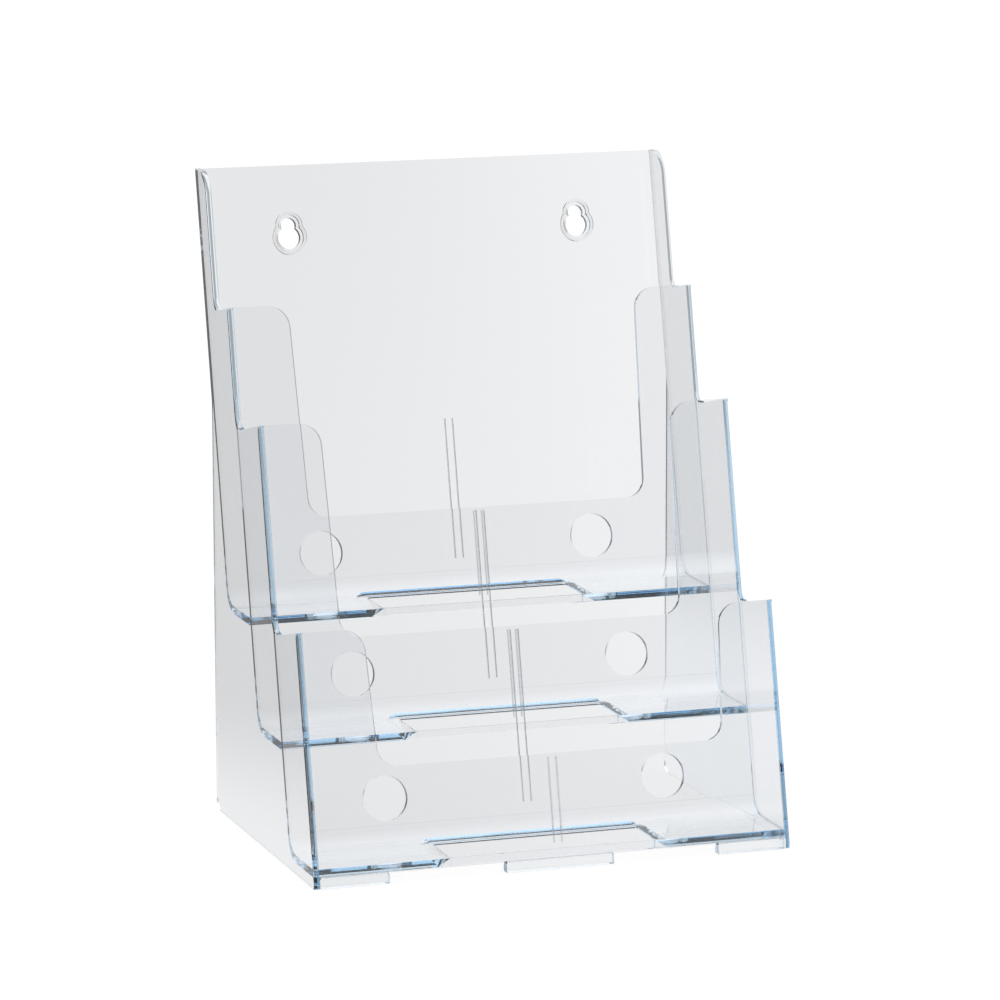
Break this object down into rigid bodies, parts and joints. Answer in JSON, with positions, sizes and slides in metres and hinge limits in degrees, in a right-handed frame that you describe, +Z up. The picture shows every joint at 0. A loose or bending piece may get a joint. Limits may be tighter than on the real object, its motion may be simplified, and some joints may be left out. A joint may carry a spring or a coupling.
{
  "type": "brochure rack",
  "caption": "Clear plastic stepped brochure rack with leaning pockets, cut-away fronts, keyholes for hanging and low feet under the front edge.",
  "frame": {"origin": "on the surface it stands on, under the middle of the whole rack", "axes": "+X to the right seen from the front, +Y from the low front towards the tall back, +Z up"},
  "size_m": [0.24, 0.1948, 0.317],
  "materials": {
    "clear_floor": "clear, blue where light runs along the sheet",
    "clear_foot": "clear, polished",
    "clear_rib": "clear, polished",
    "clear_rim": "clear, raised moulded rim",
    "clear_side": "clear, polished, edges pale blue",
    "clear_wall": "clear, polished, edges pale blue"
  },
  "bodies": {
    "root": {"back_panel": "clear_wall", "back_panel_rib_left": "clear_rib", "back_panel_rib_right": "clear_rib", "centre_foot": "clear_foot", "front_wall": "clear_wall", "front_wall_rib_left": "clear_rib", "front_wall_rib_right": "clear_rib", "left_foot": "clear_foot", "left_keyhole_rim": "clear_rim", "left_side_panel": "clear_side", "lower_floor": "clear_floor", "lower_wall": "clear_wall", "lower_wall_front_rib_left": "clear_rib", "lower_wall_front_rib_right": "clear_rib", "lower_wall_rear_rib_left": "clear_rib", "lower_wall_rear_rib_right": "clear_rib", "middle_floor": "clear_floor", "middle_wall": "clear_wall", "middle_wall_front_rib_left": "clear_rib", "middle_wall_front_rib_right": "clear_rib", "middle_wall_rear_rib_left": "clear_rib", "middle_wall_rear_rib_right": "clear_rib", "right_foot": "clear_foot", "right_keyhole_rim": "clear_rim", "right_side_panel": "clear_side", "upper_floor": "clear_floor"}
  },
  "joints": []
}
